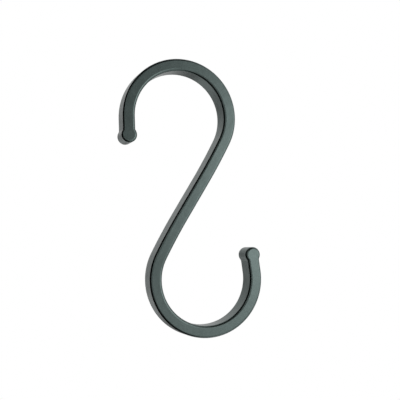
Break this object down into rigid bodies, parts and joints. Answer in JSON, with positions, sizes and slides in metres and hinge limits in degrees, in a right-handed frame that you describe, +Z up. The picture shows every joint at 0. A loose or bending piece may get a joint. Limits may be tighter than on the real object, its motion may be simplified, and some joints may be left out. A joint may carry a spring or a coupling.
{
  "type": "s hook",
  "caption": "Flat-section S hook with a leaning shank, one open round hook at each end and a small round button closing each tip.",
  "frame": {"origin": "the axis of the round seat in the upper hook, halfway through the depth of the bar", "axes": "+Z up as it hangs, +X across the hook towards the side where the shank leaves the upper hook, +Y through its depth, so the broad outline is seen along Y"},
  "size_m": [0.0418, 0.007, 0.0801],
  "materials": {
    "coat": "satin dark grey-green powder coat"
  },
  "bodies": {
    "root": {"hook": "coat"}
  },
  "joints": []
}
